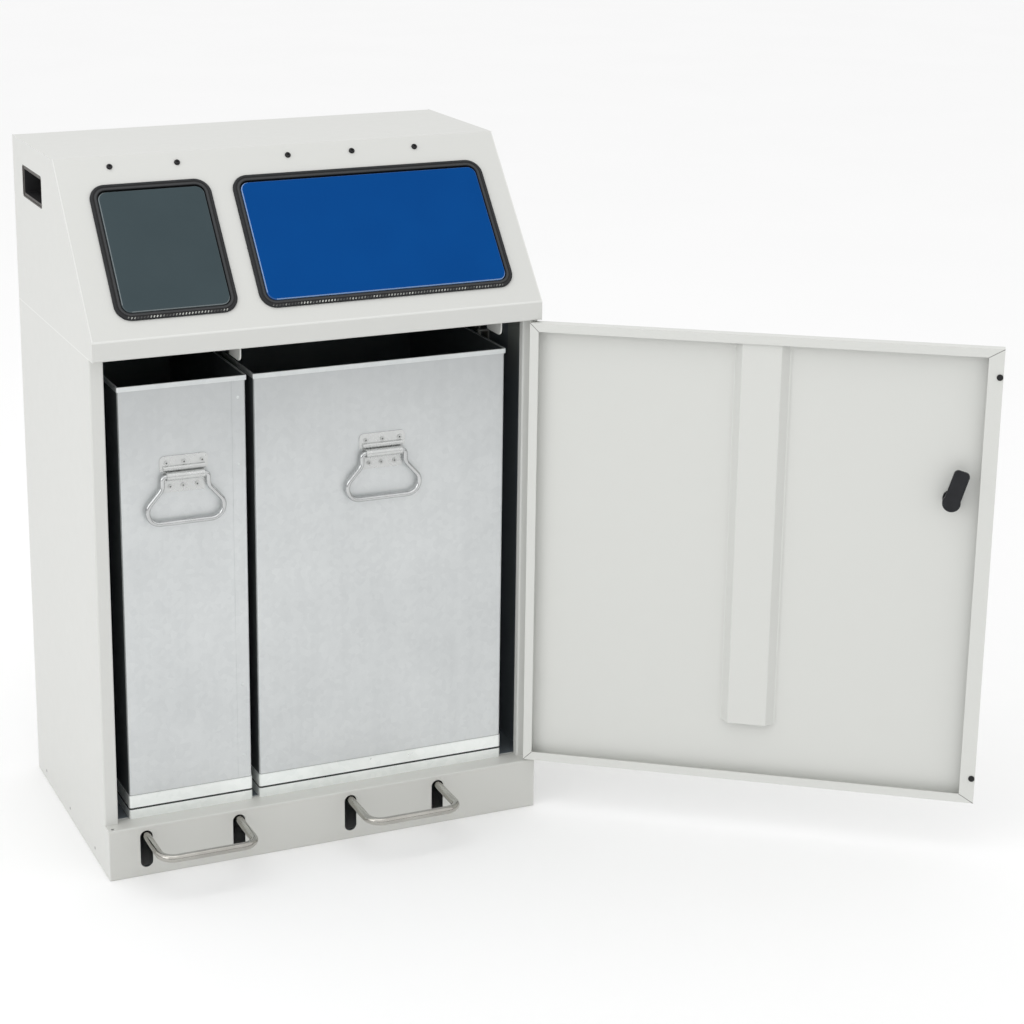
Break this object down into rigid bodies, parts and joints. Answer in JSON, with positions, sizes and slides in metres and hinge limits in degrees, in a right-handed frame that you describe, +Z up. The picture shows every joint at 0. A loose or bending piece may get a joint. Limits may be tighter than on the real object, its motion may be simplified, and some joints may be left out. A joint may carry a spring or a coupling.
{
  "type": "double recycling bin",
  "caption": "Steel cabinet with a side-hung door, pedal-opened sloping lids and lift-out galvanised containers for sorted waste.",
  "frame": {"origin": "middle of the cabinet footprint, on the floor under the base frame", "axes": "+Z up, -Y towards the door side of the cabinet, +X towards the hinge side"},
  "size_m": [1.2211, 0.825, 1.03],
  "materials": {
    "white_paint": "semi-gloss powder coat",
    "grey_paint": "semi-gloss",
    "blue_paint": "semi-gloss",
    "black_plastic": "satin moulded",
    "black_rubber": "matt",
    "black_steel": "black screws",
    "container_steel": "galvanised sheet",
    "bright_band": "bright zinc",
    "bright_wire": "bright wire",
    "zinc_steel": "zinc-plated"
  },
  "bodies": {
    "cabinet": {"side_panel_left": "white_paint", "side_panel_right": "white_paint", "back_panel": "white_paint", "plinth_front": "white_paint", "floor_panel": "white_paint", "base_frame": "white_paint", "base_rivets": "zinc_steel", "front_rail": "white_paint", "container_stops": "white_paint", "hood_shell": "white_paint", "hood_cheek_left": "white_paint", "hood_cheek_right": "white_paint", "grip_shell_left": "black_plastic", "grip_shell_right": "black_plastic", "lid_seal_small": "black_rubber", "lid_seal_large": "black_rubber", "lid_hinge_strip_small": "zinc_steel", "lid_hinge_strip_large": "zinc_steel", "hinge_screws": "black_steel", "rod_guides": "zinc_steel", "pedal_brackets": "zinc_steel", "hinge_pin_bottom": "zinc_steel", "hinge_pin_top": "zinc_steel"},
    "door": {"door_panel": "white_paint", "hinge_bushes": "zinc_steel", "door_stiffener": "white_paint", "door_bumpers": "black_rubber", "lock_housing": "black_plastic"},
    "lock": {"lock_spindle": "zinc_steel", "lock_knob": "black_plastic", "lock_lever": "black_plastic"},
    "lid_small": {"lid_panel_small": "grey_paint", "lid_arms_small": "zinc_steel", "lid_shaft_small": "zinc_steel", "lid_crank_small": "zinc_steel"},
    "rod_small": {"lift_rod_small": "zinc_steel"},
    "pedal_small": {"pedal_bar_small": "bright_wire", "pedal_shaft_small": "zinc_steel", "pedal_lever_small": "zinc_steel"},
    "container_small": {"container_body_small": "container_steel", "container_skirt_small": "bright_band", "container_rim_small": "container_steel", "handle_plate_small": "container_steel", "handle_rivets_small": "container_steel"},
    "bail_small": {"bail_small": "bright_wire"},
    "lid_large": {"lid_panel_large": "blue_paint", "lid_arms_large": "zinc_steel", "lid_shaft_large": "zinc_steel", "lid_crank_large": "zinc_steel"},
    "rod_large": {"lift_rod_large": "zinc_steel"},
    "pedal_large": {"pedal_bar_large": "bright_wire", "pedal_shaft_large": "zinc_steel", "pedal_lever_large": "zinc_steel"},
    "container_large": {"container_body_large": "container_steel", "container_skirt_large": "bright_band", "container_rim_large": "container_steel", "handle_plate_large": "container_steel", "handle_rivets_large": "container_steel"},
    "bail_large": {"bail_large": "bright_wire"}
  },
  "joints": [
    {"name": "door_hinge", "type": "hinge", "parent": "cabinet", "child": "door", "pos_m": [0.3325, -0.2085, 0.43], "axis": [0, 0, 1], "range_deg": [-144.4, 35.6]},
    {"name": "lock_turn", "type": "hinge", "parent": "door", "child": "lock", "pos_m": [0.82727, -0.56702, 0.546], "axis": [0.5821, 0.8131, 0], "range_deg": [-16, 74]},
    {"name": "pedal_small_press", "type": "hinge", "parent": "cabinet", "child": "pedal_small", "pos_m": [-0.213, 0.173, 0.063], "axis": [1, 0, 0], "range_deg": [0, 6.4]},
    {"name": "rod_small_pull", "type": "slide", "parent": "cabinet", "child": "rod_small", "axis": [0, 0, 1], "range_m": [-0.0216, 0]},
    {"name": "lid_small_hinge", "type": "hinge", "parent": "cabinet", "child": "lid_small", "pos_m": [-0.2095, -0.04044, 1.00154], "axis": [1, 0, 0], "range_deg": [-58.5, 0]},
    {"name": "container_small_slide", "type": "slide", "parent": "cabinet", "child": "container_small", "axis": [0, -1, 0], "range_m": [0, 0.4]},
    {"name": "bail_small_swing", "type": "hinge", "parent": "container_small", "child": "bail_small", "pos_m": [-0.205, -0.1925, 0.5965], "axis": [-1, 0, 0], "range_deg": [0, 90]},
    {"name": "pedal_large_press", "type": "hinge", "parent": "cabinet", "child": "pedal_large", "pos_m": [0.1055, 0.173, 0.063], "axis": [1, 0, 0], "range_deg": [0, 6.4]},
    {"name": "rod_large_pull", "type": "slide", "parent": "cabinet", "child": "rod_large", "axis": [0, 0, 1], "range_m": [-0.0216, 0]},
    {"name": "lid_large_hinge", "type": "hinge", "parent": "cabinet", "child": "lid_large", "pos_m": [0.1085, -0.04044, 1.00154], "axis": [1, 0, 0], "range_deg": [-58.5, 0]},
    {"name": "container_large_slide", "type": "slide", "parent": "cabinet", "child": "container_large", "axis": [0, -1, 0], "range_m": [0, 0.4]},
    {"name": "bail_large_swing", "type": "hinge", "parent": "container_large", "child": "bail_large", "pos_m": [0.09775, -0.1925, 0.5965], "axis": [-1, 0, 0], "range_deg": [0, 90]}
  ],
  "couplings": [
    {"joint": "rod_small_pull", "follows": "pedal_small_press", "m_per_rad": -0.1925},
    {"joint": "lid_small_hinge", "follows": "pedal_small_press", "ratio": -9.14},
    {"joint": "rod_large_pull", "follows": "pedal_large_press", "m_per_rad": -0.1925},
    {"joint": "lid_large_hinge", "follows": "pedal_large_press", "ratio": -9.14}
  ]
}
